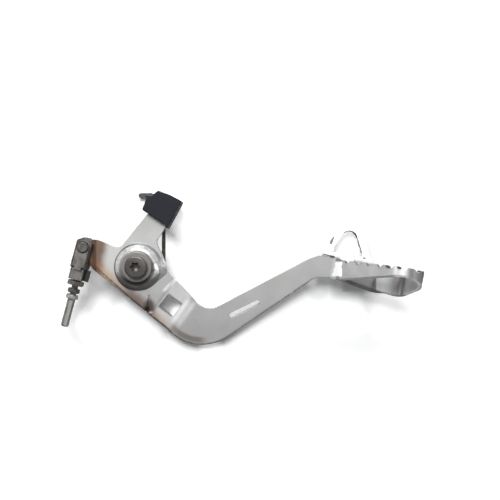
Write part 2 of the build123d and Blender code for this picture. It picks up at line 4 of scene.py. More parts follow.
import bpy
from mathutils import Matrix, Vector

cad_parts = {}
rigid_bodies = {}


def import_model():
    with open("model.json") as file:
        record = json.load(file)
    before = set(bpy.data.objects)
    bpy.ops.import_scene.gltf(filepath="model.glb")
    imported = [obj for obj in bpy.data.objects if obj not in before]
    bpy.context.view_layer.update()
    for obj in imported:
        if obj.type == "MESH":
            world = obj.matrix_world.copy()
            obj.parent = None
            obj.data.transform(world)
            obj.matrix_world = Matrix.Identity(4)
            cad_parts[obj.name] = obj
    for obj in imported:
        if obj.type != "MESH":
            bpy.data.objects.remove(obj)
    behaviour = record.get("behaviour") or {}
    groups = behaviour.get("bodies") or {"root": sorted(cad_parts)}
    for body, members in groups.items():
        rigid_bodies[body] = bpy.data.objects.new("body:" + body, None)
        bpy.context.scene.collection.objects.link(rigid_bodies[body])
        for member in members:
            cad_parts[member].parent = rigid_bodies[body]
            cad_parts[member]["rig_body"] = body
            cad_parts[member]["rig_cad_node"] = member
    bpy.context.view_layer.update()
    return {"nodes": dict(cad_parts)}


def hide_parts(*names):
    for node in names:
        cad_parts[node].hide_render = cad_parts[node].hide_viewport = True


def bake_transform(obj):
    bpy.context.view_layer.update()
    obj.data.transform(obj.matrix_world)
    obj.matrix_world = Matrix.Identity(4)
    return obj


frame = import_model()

bl_info = {
    "name": "Rear brake pedal",
    "version": (1, 0, 0),
    "blender": (4, 5, 0),
    "location": "View3D > Sidebar > Pedal",
    "description": "Finishes, light and camera for a motorbike's rear brake pedal",
    "category": "Object",
}

NODES = frame["nodes"]
MM = 0.001

# How the marks below are written, in millimetres forward of the pivot and up from it
#
# Edge: a point on it and the direction in from it
# Straight mark: a point, a direction, then a band along the direction and a band to its left
# Round mark: a centre, a radius and the soft width round it, and in a table a strength
# Band: start, end and the soft width outside them
# Fade: where it starts and where it is full
# Stain or painted light and shade: an sRGB colour and the strength with which it lies over what is below it
# Noise to millimetres or to a strength: a factor and an offset

PIVOT = (0, 0)
FORWARD = (1, 0)
UPWARD = (0, 1)


# Nodes

def node(tree, kind, sockets=None, **settings):
    """Add a shader node; a socket takes a value or the output that it is joined to."""
    made = tree.nodes.new(kind)
    for name, value in settings.items():
        setattr(made, name, value)
    for name, value in (sockets or {}).items():
        if isinstance(value, bpy.types.NodeSocket):
            tree.links.new(value, made.inputs[name])
        else:
            made.inputs[name].default_value = value
    return made


def new_material(name):
    """Empty node material with its output, and the place on the object in millimetres."""
    material = bpy.data.materials.new(name)
    material.use_nodes = True
    tree = material.node_tree
    tree.nodes.clear()
    output = node(tree, "ShaderNodeOutputMaterial")
    place = node(tree, "ShaderNodeTexCoord").outputs["Object"]
    in_mm = node(tree, "ShaderNodeVectorMath", {0: place, "Scale": 1 / MM}, operation="SCALE")
    return material, tree, output, in_mm.outputs[0]


def math_node(tree, operation, a, b=0.0):
    """Result of one maths operation, kept between 0 and 1."""
    made = node(tree, "ShaderNodeMath", {0: a, 1: b}, operation=operation, use_clamp=True)
    return made.outputs[0]


def size_of(tree, value):
    """A value without its sign."""
    return node(tree, "ShaderNodeMath", {0: value}, operation="ABSOLUTE").outputs[0]


def scaled(tree, value, factor, offset):
    """A value times a factor plus an offset, which may be another value."""
    made = node(tree, "ShaderNodeMath", {0: value, 1: factor, 2: offset}, operation="MULTIPLY_ADD")
    return made.outputs[0]


def noise(tree, place, size, detail=3.0, roughness=0.55):
    """Noise with features of a size in millimetres."""
    made = node(
        tree, "ShaderNodeTexNoise",
        {"Vector": place, "Scale": 1 / size, "Detail": detail, "Roughness": roughness},
    )
    return made.outputs["Fac"]


def inboard(tree, place):
    """Distance in millimetres inboard of the frame seat."""
    return node(tree, "ShaderNodeSeparateXYZ", {0: place}).outputs["Y"]


def facing(tree):
    """How far the surface faces each way of the object."""
    normal = node(tree, "ShaderNodeTexCoord").outputs["Normal"]
    return node(tree, "ShaderNodeSeparateXYZ", {0: normal}).outputs


def along(tree, place, origin, direction):
    """Distance in millimetres from a point of the side view along a direction in it."""
    length = math.hypot(*direction)
    way = (direction[0] / length, 0, direction[1] / length)
    start = (origin[0], 0, origin[1])
    offset = node(tree, "ShaderNodeVectorMath", {0: place, 1: start}, operation="SUBTRACT")
    made = node(tree, "ShaderNodeVectorMath", {0: offset.outputs[0], 1: way}, operation="DOT_PRODUCT")
    return made.outputs["Value"]


def away(tree, place, centre):
    """Distance in millimetres from a point of the side view."""
    flat = node(tree, "ShaderNodeVectorMath", {0: place, 1: (1, 0, 1)}, operation="MULTIPLY")
    middle = (centre[0], 0, centre[1])
    made = node(tree, "ShaderNodeVectorMath", {0: flat.outputs[0], 1: middle}, operation="DISTANCE")
    return made.outputs["Value"]


# Masks

def times(tree, *masks):
    """Product of masks and strengths."""
    product = masks[0]
    for mask in masks[1:]:
        product = math_node(tree, "MULTIPLY", product, mask)
    return product


def most(tree, *masks):
    """Largest of several masks."""
    largest = masks[0]
    for mask in masks[1:]:
        largest = math_node(tree, "MAXIMUM", largest, mask)
    return largest


def fade(tree, value, start, full):
    """Smooth step from 0 at the start to 1 where it is full."""
    made = node(
        tree, "ShaderNodeMapRange", {"Value": value, "From Min": start, "From Max": full},
        interpolation_type="SMOOTHSTEP",
    )
    return made.outputs["Result"]


def band(tree, value, start, end, soft):
    """Mask that is 1 between two values and fades outside them over the soft width."""
    return times(tree, fade(tree, value, start - soft, start), fade(tree, value, end + soft, end))


def strip(tree, place, origin, direction, run, width):
    """Straight mask in the side view: one band along a direction, and one to its left."""
    left = (-direction[1], direction[0])
    lengthwise = band(tree, along(tree, place, origin, direction), *run)
    return times(tree, lengthwise, band(tree, along(tree, place, origin, left), *width))


def spot(tree, place, centre, radius, soft):
    """Round mask in the side view: 1 inside the radius, fading over the soft width."""
    return fade(tree, away(tree, place, centre), radius + soft, radius)


def spots(tree, place, table):
    """Largest of several round masks, each with a strength of its own."""
    return most(tree, *[times(tree, spot(tree, place, *where), strength) for *where, strength in table])


# Colours and surfaces

def srgb(code):
    """Linear colour of an sRGB hex code."""
    values = [int(code[i:i + 2], 16) / 255 for i in (1, 3, 5)]
    return [v / 12.92 if v <= 0.04045 else ((v + 0.055) / 1.055) ** 2.4 for v in values] + [1.0]


def passing(tree, mask, first, second):
    """Value that passes from one to another by a mask."""
    made = node(tree, "ShaderNodeMix", {0: mask, 2: first, 3: second}, data_type="FLOAT", clamp_factor=True)
    return made.outputs[0]


def blend(tree, mask, under, over):
    """Colour laid over another by a mask."""
    made = node(tree, "ShaderNodeMix", {0: mask, 6: under, 7: over}, data_type="RGBA")
    return made.outputs[2]


def lay_stain_or_light(tree, colour, kind, *masks):
    """Colour with a stain, a painted light or a painted shade of a kind laid over it by the product of
    masks.
    """
    code, strength = kind
    return blend(tree, times(tree, *masks, strength), colour, srgb(code))


def metal(tree, output, colour, roughness, metallic=0.9, height=None, depth=0.02, edge=0.3, gloss=0.5):
    """Surface with softened edges and, where a height is given, a fine relief.

    The radius of the edges and the depth of the relief are in millimetres.
    """
    radius = scaled(tree, edge, MM, 0.0) if isinstance(edge, bpy.types.NodeSocket) else edge * MM
    normal = node(tree, "ShaderNodeBevel", {"Radius": radius}, samples=6).outputs[0]
    if height is not None:
        relief = {"Height": height, "Distance": depth * MM, "Normal": normal}
        normal = node(tree, "ShaderNodeBump", relief).outputs[0]
    surface = node(
        tree, "ShaderNodeBsdfPrincipled",
        {
            "Base Color": colour, "Roughness": roughness, "Metallic": metallic, "Normal": normal,
            "Specular IOR Level": gloss,
        },
    )
    tree.links.new(surface.outputs[0], output.inputs["Surface"])


def give(material, *names):
    """Put a material on named pieces of the frame."""
    for name in names:
        mesh = NODES[name].data
        mesh.materials.clear()
        mesh.materials.append(material)


# Settings

class PedalFinish(bpy.types.PropertyGroup):
    """Colours and grain of the pedal's pieces."""

    steel: bpy.props.StringProperty(name="Steel", description="Blasted sheet steel", default="#B6B6B5")
    cloud: bpy.props.StringProperty(
        name="Cloud", description="Duller patches of the steel", default="#9E9E9D"
    )
    grain: bpy.props.FloatProperty(
        name="Grain", description="Blast grain in millimetres", default=0.35, min=0.05
    )
    tint: bpy.props.FloatProperty(
        name="Heat tint", description="Strength of the brown tint", default=0.9, min=0, max=1
    )


class PedalStage(bpy.types.PropertyGroup):
    """Camera of the photograph."""

    aim_x: bpy.props.FloatProperty(
        name="Aim X", description="Camera across", default=0.08821, unit="LENGTH"
    )
    aim_z: bpy.props.FloatProperty(
        name="Aim Z", description="Camera height", default=0.01316, unit="LENGTH"
    )
    distance: bpy.props.FloatProperty(
        name="Distance", description="From the pivot plate's face to the camera", default=0.52,
        unit="LENGTH",
    )
    face: bpy.props.FloatProperty(
        name="Face", description="Height of the pivot plate's face over the seat", default=0.022,
        unit="LENGTH",
    )
    width: bpy.props.FloatProperty(
        name="Width", description="Width in view at the pivot plate's face", default=0.395,
        unit="LENGTH",
    )


# Lever: its lower edge

REAR_FLANK = ((5.5, -34.9), (0.66, 0.75))
BEND_CENTRE = (49.5, -26.1)
BEND_RADIUS = 37.0
LONG_ARM = ((45.3, -73.7), (-0.561, 0.828))
LEVER_END = ((169.3, -13.6), (0.307, 0.952))
BEND_STARTS = (20, 27)
BEND_ENDS = (66, 73)
ROLLED_IN = (5.0, 3.0)
ROLLED_RADIUS = (2.2, 0.25)

# Lever: bare sheet and grime on its edge

PALE = ("#DCDCDA", 0.3)
PALE_ACROSS = (-26, -16, 7)
SPECK = ("#6E6A64", 0.5)
SPECK_NOISE = (0.715, 0.76)
STOP_ARM = ("#7C7B79", 0.5)
STOP_ARM_UP = (18.0, 40.0)
EDGE_GRIME = ("#443B33", 0.7)
EDGE_GRIME_IN = (-0.5, 0.5, 0.7)
EDGE_GRIME_NOISE = (0.3, 0.5)
EDGE_GRIME_BACK = (142, 132)
SHEET_ROUGHNESS = (0.14, 0.36)

# Lever: heat tint, with ragged borders

RAGGED = (5.0, -2.5)
STRAW_TONES = ("#C0A47C", "#A09080")
STRAW_TURNS = (-24, -14)
STRAW_PATCH = ("#8F7C70", 0.6)
STRAW_STRENGTH = 0.85
STRAW_RAGGED = 0.8
STRAW_IN = (8.0, 1.5)
STRAW_BACK = (30, 18)
SCORCH = ("#6A5A55", 0.85)
SCORCH_RAGGED = 0.6
SCORCH_IN = (10.0, 2.5)
SCORCH_ACROSS = (-5, 9, 10)
# Bend: brown singe together with painted shade of the rolled edge
SINGE_AND_EDGE_SHADE = ("#62574C", 0.75)
SINGE_IN = (2.8, 5.0, 2.2)
SINGE_ACROSS = (32, 46, 10)
BURNT_TONES = ("#68503F", "#7E5747")
BURNT_DOWN = (12.0, 0.0)
BURNT_RAGGED = 0.6
BURNT_SLANT = -0.22
BURNT_BACK = (-24.5, -33.0)
BURNT_LINE = ("#43301F", 0.85)
BURNT_LINE_ACROSS = (-36.0, -34.0, 1.6)

# Lever: the pocket with painted shade and grease, painted highlights on the crease and the joggle,
# painted shade round the window, and the end with painted light and a darker edge

# Pressed pocket: painted shade with grease, darkest in its hollow
POCKET_SHADE_AND_GREASE = ("#4A423A", 0.75)
POCKET_MARK = ((8.6, -30.5), 2.2, 4.5)
HOLLOW_SHADE_AND_GREASE = ("#211C18", 0.9)
HOLLOW_MARK = ((6.6, -33.6), 1.0, 2.4)
# Crease: painted highlight along the joggle's upper bend
CREASE_HIGHLIGHT = ("#FFFFFF", 0.75)
CREASE_MARK = ((24.2, -15.6), (0.69, 0.72), (-3.0, 6.0, 5.0), (-0.4, 1.0, 1.4))
CREASE_NOISE = (0.6, 0.4)
# Window: painted shade on the hole's walls
WINDOW_SHADE = ("#3C3732", 0.65)
WINDOW_MARK = ((24.8, -30.8), (0.64, 0.77), (-6.4, 6.4, 0.8), (-6.4, 6.4, 0.8))
# Joggle: painted highlight on the lower bend
JOGGLE_HIGHLIGHT = ("#FFFFFF", 0.5)
JOGGLE_MARK = ((33.61, -36.73), (0.819, -0.574), (0.0, 2.4, 5.0), (-7.0, 7.0, 8.0))
# Lever's end: painted light where the tread shades it
END_PAINTED_LIGHT = ("#FFFFFF", 0.25)
END_PAINTED_LIGHT_ACROSS = (164, 176)
# Lever's end: darker along its lower edge
END_DARK_EDGE = ("#3A3836", 0.8)
END_DARK_EDGE_IN = (3.0, 0.6)
END_DARK_EDGE_ACROSS = (160, 170)

# Lever: dome, by the distance from its centre, with painted highlight, shade and shadow

DOME_CENTRE = (-0.4, -0.6)
DOME_UPPER = (-10.0, -3.0)
# Crown: painted shade on its upper side, next to the collar
CROWN_SHADE = ("#6E6D70", 0.75)
CROWN_EDGE = (14.6, 13.4)
# Right of the crown: mottled painted shade
MOTTLED_SHADE = ("#4E4E52", 0.8)
MOTTLED_SHADE_MARK = ((13.4, -1.2), 2.8, 3.2)
MOTTLED_SHADE_NOISE = (0.62, 0.42)
# Upper flank: painted highlight in a ring and on the ear
FLANK_HIGHLIGHT = ("#FFFFFF", 1.0)
FLANK_RING = (14.8, 17.2, 1.0)
FLANK_EAR = ((18.0, 1.5), 2.0, 4.0)
FLANK_STARTS = (13.2, 14.6)
FLANK_NOISE = (1.8, -0.45)
# Lower flank: painted shade, with grease
DOME_SHADE_AND_GREASE = ("#464240", 0.7)
DOME_SHADE_AND_GREASE_EDGE = (19.0, 18.2)
DOME_SHADE_AND_GREASE_DOWN = (-1.0, -12.0)
# Under the collar: painted shadow in a dark crescent
COLLAR_SHADOW = ("#26221F", 0.75)
COLLAR_SHADOW_EDGE = (14.6, 13.6)
COLLAR_SHADOW_DOWN = (-5.0, -11.0)
# Round the dome's foot: painted shade in the crease
DOME_FOOT_SHADE = ("#3E3C3A", 0.8)
DOME_FOOT_RING = (18.1, 18.6, 0.5)
DOME_FOOT_BACK = (2.0, -8.0)
DOME_FOOT_SHARE = (0.75, 0.25)

# Tread: the strip's run by the lever is near, and the run further out is outer

TREAD_TONES = ("#8E8E8E", "#787878")
TREAD_ROUGHNESS = (0.14, 0.3)
STRIP_NEAR = (-21.0, -18.0)
STRIP_OUTER = (-18.0, -21.0)
# Strip's foot: painted light on its end face
FOOT_END_PAINTED_LIGHT = ("#F2F2F2", 0.5)
FOOT_END_BACK = (157.6, 156.2)
# Strip's foot: ground patch with a painted highlight of the bend over it
GROUND_AND_HIGHLIGHT = ("#FFFFFF", 1.0)
GROUND_TORN = 2.4
GROUND_SLANT = -0.27
GROUND_STARTS = (156.2, 157.8)
GROUND_STOPS = (163.4, 162.2)
GROUND_UP = (-7.0, 3.0, 1.6)
# Nose: painted highlight where the wall turns
NOSE_HIGHLIGHT = ("#FFFFFF", 0.6)
NOSE_ACROSS = (200.5, 203.5, 6.0)
# Tip: painted light, then painted shade where it turns away
TIP_PAINTED_LIGHT = ("#D6D6D6", 0.5)
TIP_PAINTED_LIGHT_ACROSS = (207.0, 212.0)
TIP_PAINTED_SHADE = ("#504E4C", 0.6)
TIP_PAINTED_SHADE_ACROSS = (216.5, 219.5)
# Inner run: painted light at its rear, painted shade towards the front
INNER_SHADE_AND_LIGHT = ("#6E6C6A", "#EAEAEA")
INNER_ACROSS = (180.0, 186.0)
INNER_CLOUD = 4.0
INNER_PAINTED_LIGHT_BACK = (211.0, 195.0)
# Return strip's end: a darker band
STRIP_END_DARK = ("#343230", 0.7)
STRIP_END_DARK_ACROSS = (185.8, 188.8, 0.8)
# Inner run: darker along the lever's lower edge
INNER_DARK_EDGE = ("#3A3836", 0.7)
INNER_DARK_EDGE_IN = (2.4, 0.6)
# Teeth: painted shade on their tops, and on two crests at the nose
CREST_SHADE = ("#2A2826", 0.95)
CREST_FACING = (0.5, 0.7)
CREST_NOISE = (0.43, 0.5)
CREST_ACROSS = (163, 167)
CREST_MARKS = (((193.0, 1.0), 1.1, 1.3), ((200.0, 0.4), 1.1, 1.3))

# Flip step: painted shade on the cut edges, the hole's brink and the nick, and the hinge's dark seams

ZINC_TONES = ("#FBFBFB", "#EFEFEE")
# Cut edges facing down and sideways: painted shade
CUT_EDGE_SHADE = ("#3A3937", 1.0)
CUT_SIDEWAYS = (0.8, 0.5)
CUT_DOWNWARD = (0.5, -0.1)
CUT_RISEN = (2.5, 4.5)
STEP_HINGE = ((146.3, 10.9), (0.235, 0.972))
# Hole's brink: painted shade along its left edge
BRINK_SHADE = ("#5A5957", 0.85)
BRINK_MARK = ((156.3, 12.7), (0.527, 0.85), (0.0, 17.0, 1.0), (-0.6, 0.4, 0.3))
# First mark: painted shade of a tooth gap; the other marks: the hinge's dark seams
NICK_SHADE_AND_SEAMS = ("#3C3C3A", 0.9)
NICK_MARKS = (
    ((154.8, 21.1), (-0.36, -0.93), (-3.0, 3.0, 0.8), (-0.85, 0.85, 0.5)),
    ((147.2, 9.9), (0.97, -0.24), (0.0, 8.0, 0.5), (-0.2, 0.2, 0.5)),
    ((152.6, 8.3), (0.97, -0.24), (0.0, 3.6, 0.5), (-0.5, 0.5, 0.5)),
    ((179.2, 6.8), (0.97, -0.24), (0.0, 2.0, 0.5), (-0.4, 0.4, 0.5)),
)


# Finishes

class PEDAL_OT_lever(bpy.types.Operator):
    """Blasted sheet steel with brown heat tint on the lever, and plain steel on what is welded to it"""

    bl_idname = "pedal.lever"
    bl_label = "Lever finish"

    def execute(self, context):
        look = context.scene.pedal_finish
        give(self.lever(look), "pedal_lever")
        give(self.tread(look), "tread_loop", "pivot_tube")
        zinc = ("flip_step", "rear_step_knuckle", "front_step_knuckle", "rear_step_pin", "front_step_pin")
        give(self.step(), *zinc)
        return {"FINISHED"}

    def lever(self, look):
        """Sheet steel, blasted: fine grain and cloudy patches.

        Brown heat tint runs along the rolled lower edge and beside the clevis. Painted shade with grease
        darkens the dome's lower side and the pressed pocket, painted highlights lie on the dome's upper
        flank, the crease and the joggle, and painted light lies on the lever's end.
        """
        material, tree, output, place = new_material("Blasted sheet steel")
        across = along(tree, place, PIVOT, FORWARD)
        up = along(tree, place, PIVOT, UPWARD)
        edge = self.lower_edge(tree, place, across)
        patch = noise(tree, place, size=4, detail=4)
        blotch = noise(tree, place, size=2.2, detail=4)
        colour = self.sheet(tree, place, look, across, up)
        colour = self.heat(tree, colour, look.tint, across, up, edge, patch)
        colour = self.marks(tree, place, colour, blotch)
        colour = self.dome(tree, place, colour, across, up, blotch)
        colour = self.lever_end(tree, place, colour, across)
        grime = times(tree, band(tree, edge, *EDGE_GRIME_IN), fade(tree, patch, *EDGE_GRIME_NOISE))
        colour = lay_stain_or_light(tree, colour, EDGE_GRIME, grime, fade(tree, across, *EDGE_GRIME_BACK))
        roughness = scaled(tree, patch, *SHEET_ROUGHNESS)
        rolled = scaled(tree, fade(tree, edge, *ROLLED_IN), *ROLLED_RADIUS)
        grain = noise(tree, place, look.grain, detail=2)
        metal(tree, output, colour, roughness, metallic=0.75, height=grain, depth=0.01, edge=rolled)
        return material

    def lower_edge(self, tree, place, across):
        """Distance in from the lower edge: the rear flank, the round of the bend, then the long arm."""
        rear = along(tree, place, *REAR_FLANK)
        bend = scaled(tree, away(tree, place, BEND_CENTRE), -1.0, BEND_RADIUS)
        arm = along(tree, place, *LONG_ARM)
        inner = passing(tree, fade(tree, across, *BEND_STARTS), rear, bend)
        return passing(tree, fade(tree, across, *BEND_ENDS), inner, arm)

    def sheet(self, tree, place, look, across, up):
        """The bare sheet: clouded, paler behind the pivot, specked, and darker up the stop arm."""
        colour = blend(tree, noise(tree, place, size=16, detail=4), srgb(look.steel), srgb(look.cloud))
        colour = lay_stain_or_light(tree, colour, PALE, band(tree, across, *PALE_ACROSS))
        specks = fade(tree, noise(tree, place, size=1.4, detail=1), *SPECK_NOISE)
        colour = lay_stain_or_light(tree, colour, SPECK, specks)
        return lay_stain_or_light(tree, colour, STOP_ARM, fade(tree, up, *STOP_ARM_UP))

    def heat(self, tree, colour, tint, across, up, edge, patch):
        """Heat tint: straw and scorched along the lower edge, burnt brown with a line by the clevis.

        At the bend a brown singe is laid together with painted shade of the rolled edge.
        """
        ragged = scaled(tree, patch, *RAGGED)
        straw = blend(tree, fade(tree, across, *STRAW_TURNS), *map(srgb, STRAW_TONES))
        straw = lay_stain_or_light(tree, straw, STRAW_PATCH, patch)
        tinted = fade(tree, scaled(tree, ragged, STRAW_RAGGED, edge), *STRAW_IN)
        tinted = times(tree, tinted, fade(tree, across, *STRAW_BACK), tint * STRAW_STRENGTH)
        colour = blend(tree, tinted, colour, straw)
        scorched = fade(tree, scaled(tree, ragged, SCORCH_RAGGED, edge), *SCORCH_IN)
        colour = lay_stain_or_light(tree, colour, SCORCH, scorched, band(tree, across, *SCORCH_ACROSS), tint)
        singed_and_shaded = times(tree, band(tree, edge, *SINGE_IN), band(tree, across, *SINGE_ACROSS))
        colour = lay_stain_or_light(tree, colour, SINGE_AND_EDGE_SHADE, singed_and_shaded, tint)
        slant = scaled(tree, up, BURNT_SLANT, across)
        burnt = fade(tree, scaled(tree, ragged, BURNT_RAGGED, slant), *BURNT_BACK)
        brown = blend(tree, fade(tree, up, *BURNT_DOWN), *map(srgb, BURNT_TONES))
        colour = blend(tree, times(tree, burnt, tint), colour, brown)
        return lay_stain_or_light(tree, colour, BURNT_LINE, band(tree, across, *BURNT_LINE_ACROSS), tint)

    def marks(self, tree, place, colour, blotch):
        """Painted shade with grease in the pocket, and painted shade round the window.

        Painted highlights lie on the crease and the joggle.
        """
        colour = lay_stain_or_light(tree, colour, POCKET_SHADE_AND_GREASE, spot(tree, place, *POCKET_MARK))
        colour = lay_stain_or_light(tree, colour, HOLLOW_SHADE_AND_GREASE, spot(tree, place, *HOLLOW_MARK))
        crease_highlight = strip(tree, place, *CREASE_MARK)
        colour = lay_stain_or_light(tree, colour, CREASE_HIGHLIGHT, crease_highlight, scaled(tree, blotch, *CREASE_NOISE))
        colour = lay_stain_or_light(tree, colour, WINDOW_SHADE, strip(tree, place, *WINDOW_MARK))
        return lay_stain_or_light(tree, colour, JOGGLE_HIGHLIGHT, strip(tree, place, *JOGGLE_MARK))

    def dome(self, tree, place, colour, across, up, blotch):
        """The dome: painted highlight on its upper flank, painted shade on the crown, below and round the
        foot.

        Grease lies with the painted shade below, and a painted shadow lies under the collar.
        """
        far = away(tree, place, DOME_CENTRE)
        upper = fade(tree, up, *DOME_UPPER)
        colour = lay_stain_or_light(tree, colour, CROWN_SHADE, fade(tree, far, *CROWN_EDGE), upper)
        mottled_shade = spot(tree, place, *MOTTLED_SHADE_MARK)
        colour = lay_stain_or_light(tree, colour, MOTTLED_SHADE, mottled_shade, fade(tree, blotch, *MOTTLED_SHADE_NOISE))
        flank_highlight = most(tree, band(tree, far, *FLANK_RING), spot(tree, place, *FLANK_EAR))
        flank_highlight = times(tree, flank_highlight, upper, fade(tree, far, *FLANK_STARTS))
        colour = lay_stain_or_light(tree, colour, FLANK_HIGHLIGHT, flank_highlight, scaled(tree, blotch, *FLANK_NOISE))
        shaded_and_greasy = fade(tree, far, *DOME_SHADE_AND_GREASE_EDGE)
        colour = lay_stain_or_light(tree, colour, DOME_SHADE_AND_GREASE, shaded_and_greasy, fade(tree, up, *DOME_SHADE_AND_GREASE_DOWN))
        collar_shadow = fade(tree, far, *COLLAR_SHADOW_EDGE)
        colour = lay_stain_or_light(tree, colour, COLLAR_SHADOW, collar_shadow, fade(tree, up, *COLLAR_SHADOW_DOWN))
        behind = scaled(tree, fade(tree, across, *DOME_FOOT_BACK), *DOME_FOOT_SHARE)
        return lay_stain_or_light(tree, colour, DOME_FOOT_SHADE, band(tree, far, *DOME_FOOT_RING), behind)

    def lever_end(self, tree, place, colour, across):
        """The lever's end: painted light behind the tread, and darker along its lower edge."""
        colour = lay_stain_or_light(tree, colour, END_PAINTED_LIGHT, fade(tree, across, *END_PAINTED_LIGHT_ACROSS))
        near_lower_edge = fade(tree, along(tree, place, *LEVER_END), *END_DARK_EDGE_IN)
        return lay_stain_or_light(tree, colour, END_DARK_EDGE, near_lower_edge, fade(tree, across, *END_DARK_EDGE_ACROSS))

    def tread(self, look):
        """The same steel without the tint: at the strip's foot a ground patch with a painted highlight and
        painted light on its end, and a darker band at its welded end.

        A painted highlight lies on the nose, painted light and shade on the tip and the inner run, which
        darken towards the front, and painted shade on the crests.
        """
        material, tree, output, place = new_material("Plain sheet steel")
        across = along(tree, place, PIVOT, FORWARD)
        cloud = noise(tree, place, size=9, detail=4)
        streaks = noise(tree, place, size=3.2, detail=3)
        inward = inboard(tree, place)
        near = fade(tree, inward, *STRIP_NEAR)
        outer = fade(tree, inward, *STRIP_OUTER)
        colour = blend(tree, cloud, *map(srgb, TREAD_TONES))
        colour = self.foot(tree, place, colour, across, near, streaks)
        colour = lay_stain_or_light(tree, colour, NOSE_HIGHLIGHT, outer, band(tree, across, *NOSE_ACROSS))
        colour = lay_stain_or_light(tree, colour, TIP_PAINTED_LIGHT, outer, fade(tree, across, *TIP_PAINTED_LIGHT_ACROSS))
        colour = lay_stain_or_light(tree, colour, TIP_PAINTED_SHADE, outer, fade(tree, across, *TIP_PAINTED_SHADE_ACROSS))
        inner = times(tree, near, fade(tree, across, *INNER_ACROSS))
        painted_light_share = fade(tree, scaled(tree, cloud, INNER_CLOUD, across), *INNER_PAINTED_LIGHT_BACK)
        colour = blend(tree, inner, colour, blend(tree, painted_light_share, *map(srgb, INNER_SHADE_AND_LIGHT)))
        colour = lay_stain_or_light(tree, colour, STRIP_END_DARK, near, band(tree, across, *STRIP_END_DARK_ACROSS))
        near_lower_edge = fade(tree, along(tree, place, *LEVER_END), *INNER_DARK_EDGE_IN)
        colour = lay_stain_or_light(tree, colour, INNER_DARK_EDGE, inner, near_lower_edge)
        colour = lay_stain_or_light(tree, colour, CREST_SHADE, self.crests(tree, place, across, outer, streaks))
        roughness = scaled(tree, cloud, *TREAD_ROUGHNESS)
        grain = noise(tree, place, look.grain, detail=2)
        metal(tree, output, colour, roughness, metallic=0.75, height=grain, depth=0.008)
        return material

    def foot(self, tree, place, colour, across, near, streaks):
        """The strip's foot on the lever: painted light on its end, and a ground patch with torn borders.

        A painted highlight of the bend lies over the ground patch.
        """
        up = along(tree, place, PIVOT, UPWARD)
        colour = lay_stain_or_light(tree, colour, FOOT_END_PAINTED_LIGHT, near, fade(tree, across, *FOOT_END_BACK))
        torn = scaled(tree, streaks, GROUND_TORN, across)
        ground_and_highlight = fade(tree, scaled(tree, up, GROUND_SLANT, torn), *GROUND_STARTS)
        ground_and_highlight = times(tree, ground_and_highlight, fade(tree, torn, *GROUND_STOPS), near)
        return lay_stain_or_light(tree, colour, GROUND_AND_HIGHLIGHT, ground_and_highlight, band(tree, up, *GROUND_UP))

    def crests(self, tree, place, across, outer, streaks):
        """Mask of the painted shade on top of the teeth."""
        upward = fade(tree, facing(tree)["Z"], *CREST_FACING)
        crest = times(tree, upward, fade(tree, streaks, *CREST_NOISE), fade(tree, across, *CREST_ACROSS))
        nose = most(tree, *[spot(tree, place, *mark) for mark in CREST_MARKS])
        return most(tree, crest, times(tree, outer, nose))

    def step(self):
        """Bright zinc plate: painted shade on the cut edges, the hole's brink and the nick, and dark hinge
        seams.
        """
        material, tree, output, place = new_material("Bright zinc plate")
        colour = blend(tree, noise(tree, place, size=6), *map(srgb, ZINC_TONES))
        normal = facing(tree)
        cut_shade = fade(tree, size_of(tree, normal["Y"]), *CUT_SIDEWAYS)
        cut_shade = times(tree, cut_shade, fade(tree, normal["Z"], *CUT_DOWNWARD))
        risen = fade(tree, along(tree, place, *STEP_HINGE), *CUT_RISEN)
        colour = lay_stain_or_light(tree, colour, CUT_EDGE_SHADE, cut_shade, risen)
        colour = lay_stain_or_light(tree, colour, BRINK_SHADE, strip(tree, place, *BRINK_MARK))
        nick_shade_and_seams = most(tree, *[strip(tree, place, *mark) for mark in NICK_MARKS])
        colour = lay_stain_or_light(tree, colour, NICK_SHADE_AND_SEAMS, nick_shade_and_seams)
        metal(tree, output, colour, roughness=0.5, metallic=0.25)
        return material


# Bolt: painted highlight on its head, painted shade on the socket's floor and a painted glint

# Bolt's head: painted highlight on its upper right
BOLT_HIGHLIGHT = ("#94918D", 0.25)
BOLT_HIGHLIGHT_WAY = (0.6, 0.8)
BOLT_HIGHLIGHT_ALONG = (1.0, 8.0)
# Socket: painted shade in the recess
SOCKET_SHADE = ("#3A342F", 0.6)
SOCKET_FLOOR = (-34.4, -33.8)
GLINT = ("#B8B5B1", 0.75)
GLINT_MARK = ((0.1, -2.0), 0.2, 1.7)


